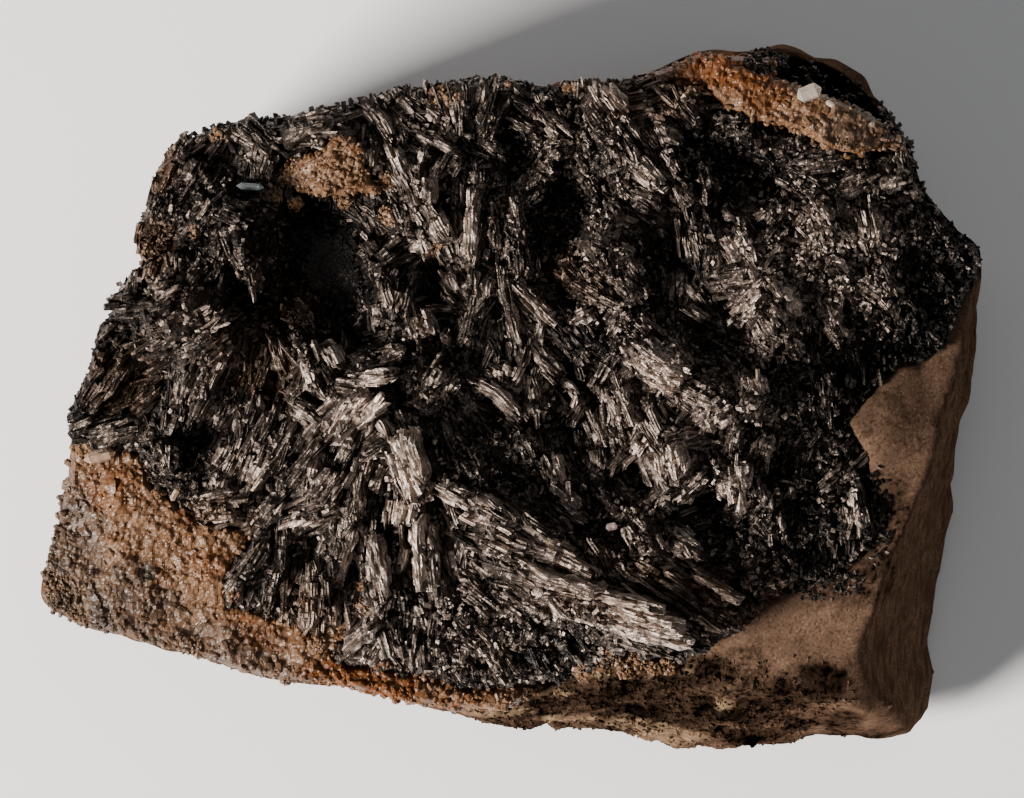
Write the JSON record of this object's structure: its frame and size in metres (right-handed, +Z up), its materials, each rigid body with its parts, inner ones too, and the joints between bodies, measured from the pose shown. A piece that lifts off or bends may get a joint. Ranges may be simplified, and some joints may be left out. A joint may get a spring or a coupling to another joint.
{
  "type": "mineral specimen",
  "caption": "Loose slab of sandstone and sugary quartz grown over with dark striated betekhtinite crystals, lying on its flat back.",
  "frame": {"origin": "middle of the slab's bounding box, on the flat face it rests on", "axes": "+Z up through the crystals, +X along the slab's length, +Y across it"},
  "size_m": [0.0942, 0.0717, 0.0366],
  "materials": {
    "sandstone": "rough, fine grained",
    "sugary_quartz": "granular, faintly glossy grains",
    "betekhtinite": "striated, dull metallic"
  },
  "bodies": {
    "root": {"sandstone_matrix": "sandstone", "quartz_shelf": "sugary_quartz", "quartz_crust": "sugary_quartz", "quartz_pocket": "sugary_quartz", "betekhtinite_crystals": "betekhtinite"}
  },
  "joints": []
}
